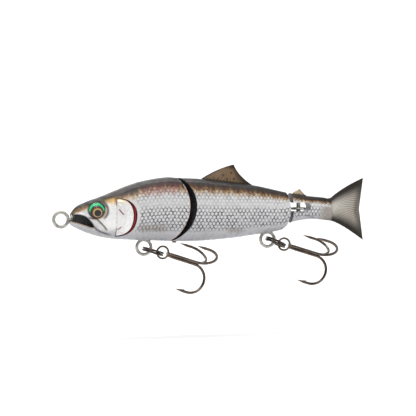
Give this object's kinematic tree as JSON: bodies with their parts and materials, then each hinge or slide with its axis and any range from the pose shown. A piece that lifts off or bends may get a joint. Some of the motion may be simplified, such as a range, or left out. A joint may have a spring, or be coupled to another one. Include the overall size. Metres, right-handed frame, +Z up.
{
  "type": "jointed swimbait",
  "caption": "Hard jointed fish lure that swings at its body joints, with flaring gill covers, a soft tail, split rings and treble hooks.",
  "frame": {"origin": "centre of the line tie ring at the nose", "axes": "+X from the nose to the tail, +Z up through the back, -Y the fish's left side"},
  "size_m": [0.1696, 0.0318, 0.0677],
  "materials": {
    "painted_shell": "airbrushed trout pattern under clear gloss coat",
    "gill_cover_paint": "pearl white gloss with fine lines",
    "gill_red": "ridged, satin red",
    "iris_foil": "printed foil",
    "clear_lens": "clear domed resin",
    "steel": "bright polished wire",
    "dark_pin": "blackened",
    "black_nickel": "black nickel plating",
    "ballast_metal": "as cast",
    "fin_film": "translucent moulded fin with rays",
    "soft_tail": "satin soft plastic with fine rays"
  },
  "bodies": {
    "front_section": {"head_shell_left": "painted_shell", "head_shell_right": "painted_shell", "eye_disc_left": "iris_foil", "eye_disc_right": "iris_foil", "eye_lens_left": "clear_lens", "eye_lens_right": "clear_lens", "gill_insert_left": "gill_red", "gill_insert_right": "gill_red", "gill_pin_left": "steel", "gill_pin_right": "steel", "line_tie": "steel", "front_ballast": "ballast_metal", "front_hanger": "steel", "front_joint_eye_upper": "steel", "front_joint_eye_lower": "steel"},
    "left_gill": {"gill_cover_left": "gill_cover_paint"},
    "right_gill": {"gill_cover_right": "gill_cover_paint"},
    "middle_section": {"middle_shell_left": "painted_shell", "middle_shell_right": "painted_shell", "dorsal_fin": "fin_film", "rear_ballast": "ballast_metal", "rear_hanger": "steel", "front_joint_pin": "dark_pin", "tail_joint_eye": "steel"},
    "tail_section": {"tail_shell_left": "painted_shell", "tail_shell_right": "painted_shell", "tail_joint_pin": "steel", "adipose_fin": "fin_film", "tail_fin": "soft_tail", "tail_fin_pin": "steel"},
    "front_ring": {"split_ring_front": "black_nickel"},
    "front_treble": {"treble_front": "black_nickel"},
    "rear_ring": {"split_ring_rear": "black_nickel"},
    "rear_treble": {"treble_rear": "black_nickel"}
  },
  "joints": [
    {"name": "front_joint", "type": "hinge", "parent": "front_section", "child": "middle_section", "pos_m": [0.06, 0, 0], "axis": [0, 0, 1], "range_deg": [-18, 18]},
    {"name": "tail_joint", "type": "hinge", "parent": "middle_section", "child": "tail_section", "pos_m": [0.1283, 0, 0], "axis": [0, 0, 1], "range_deg": [-20, 20]},
    {"name": "left_gill_hinge", "type": "hinge", "parent": "front_section", "child": "left_gill", "pos_m": [0.028, -0.0071, 0.001], "axis": [0, 0, -1], "range_deg": [0, 28]},
    {"name": "right_gill_hinge", "type": "hinge", "parent": "front_section", "child": "right_gill", "pos_m": [0.028, 0.0071, 0.001], "axis": [0, 0, 1], "range_deg": [0, 28]},
    {"name": "front_ring_swing", "type": "hinge", "parent": "front_section", "child": "front_ring", "pos_m": [0.0434, 0, -0.01549], "axis": [0, 1, 0], "range_deg": [-4, 95]},
    {"name": "front_treble_swing", "type": "hinge", "parent": "front_ring", "child": "front_treble", "pos_m": [0.04847, 0, -0.01704], "axis": [0.2924, 0, 0.9563], "range_deg": [-35, 35]},
    {"name": "rear_ring_swing", "type": "hinge", "parent": "middle_section", "child": "rear_ring", "pos_m": [0.1107, 0, -0.01106], "axis": [0, 1, 0], "range_deg": [-4, 95]},
    {"name": "rear_treble_swing", "type": "hinge", "parent": "rear_ring", "child": "rear_treble", "pos_m": [0.11554, 0, -0.01321], "axis": [0.4067, 0, 0.9135], "range_deg": [-35, 35]}
  ]
}
